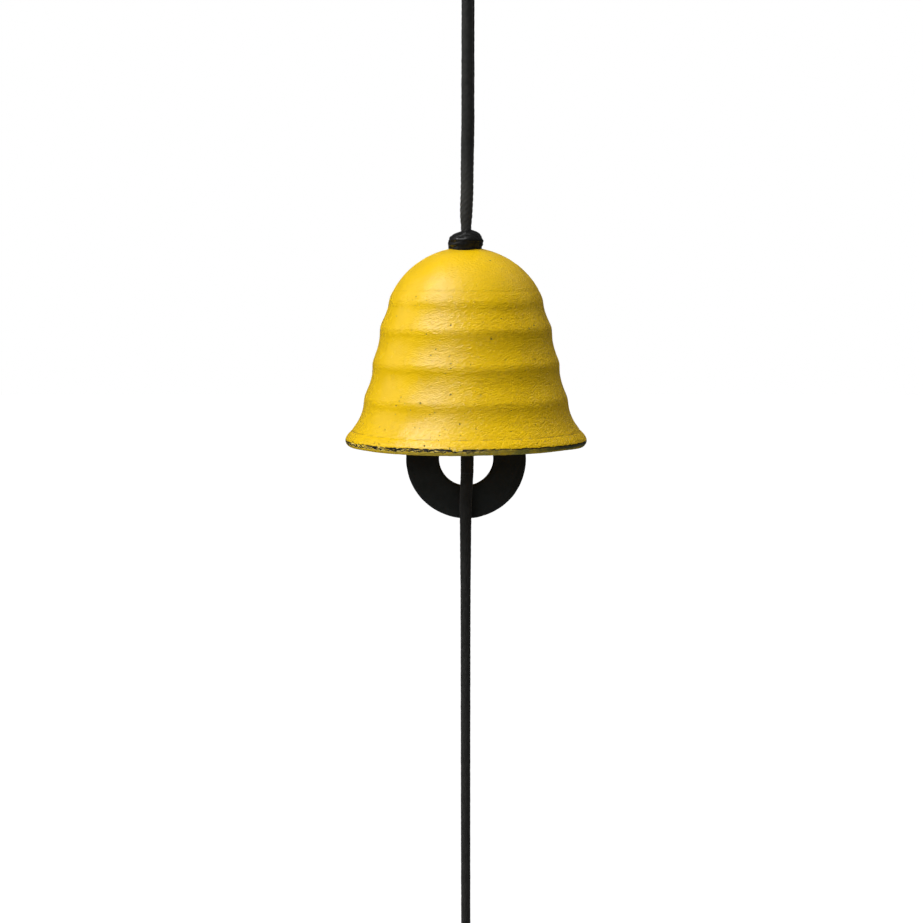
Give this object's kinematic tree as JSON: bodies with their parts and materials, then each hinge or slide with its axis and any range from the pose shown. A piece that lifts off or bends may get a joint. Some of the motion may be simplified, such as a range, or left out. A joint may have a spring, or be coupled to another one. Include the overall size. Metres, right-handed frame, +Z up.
{
  "type": "wind bell",
  "caption": "Small painted cast-iron wind bell hung by a knotted cord, with a flat ring clapper and a free cord below for the wind to pull.",
  "frame": {"origin": "where a hook touches the inside of the hanging eye, at its top", "axes": "+Z is up along the bell's axis, +X runs along the flat of the clapper ring, and -Y is the front, where the cord hangs before the ring"},
  "size_m": [0.0602, 0.0602, 0.2914],
  "materials": {
    "bell_paint": "satin",
    "clapper_iron": "matte",
    "cord": "satin"
  },
  "bodies": {
    "hanger": {"hanging_eye": "cord"},
    "loop_knot": {"loop_knot": "cord"},
    "suspension": {"hanging_cord_front": "cord", "hanging_cord_rear": "cord", "crown_knot": "cord", "neck_cord": "cord"},
    "bell": {"bell_shell": "bell_paint"},
    "inner_knot": {"inner_knot": "cord"},
    "clapper": {"clapper_cord": "cord", "clapper_hitch": "cord", "clapper_ring": "clapper_iron", "drop_cord": "cord"},
    "wind_cord": {"wind_cord": "cord", "end_knot": "cord", "cord_tail": "cord"}
  },
  "joints": [
    {"name": "sway_front_back", "type": "hinge", "parent": "hanger", "child": "loop_knot", "pos_m": [0, 0, -0.027], "axis": [1, 0, 0], "range_deg": [-30, 30]},
    {"name": "sway_side", "type": "hinge", "parent": "loop_knot", "child": "suspension", "pos_m": [0, 0, -0.027], "axis": [0, 1, 0], "range_deg": [-30, 30]},
    {"name": "bell_turn", "type": "hinge", "parent": "suspension", "child": "bell", "pos_m": [0, 0, -0.09475], "axis": [0, 0, 1], "continuous": true},
    {"name": "clapper_turn", "type": "hinge", "parent": "suspension", "child": "inner_knot", "pos_m": [0, 0, -0.10216], "axis": [0, 0, 1], "continuous": true},
    {"name": "clapper_swing", "type": "hinge", "parent": "inner_knot", "child": "clapper", "pos_m": [0, 0, -0.10216], "axis": [0, 1, 0], "range_deg": [-13.5, 13.5]},
    {"name": "wind_cord_swing", "type": "hinge", "parent": "clapper", "child": "wind_cord", "pos_m": [0, -0.00345, -0.16305], "axis": [1, 0, 0], "range_deg": [-30, 30]}
  ]
}
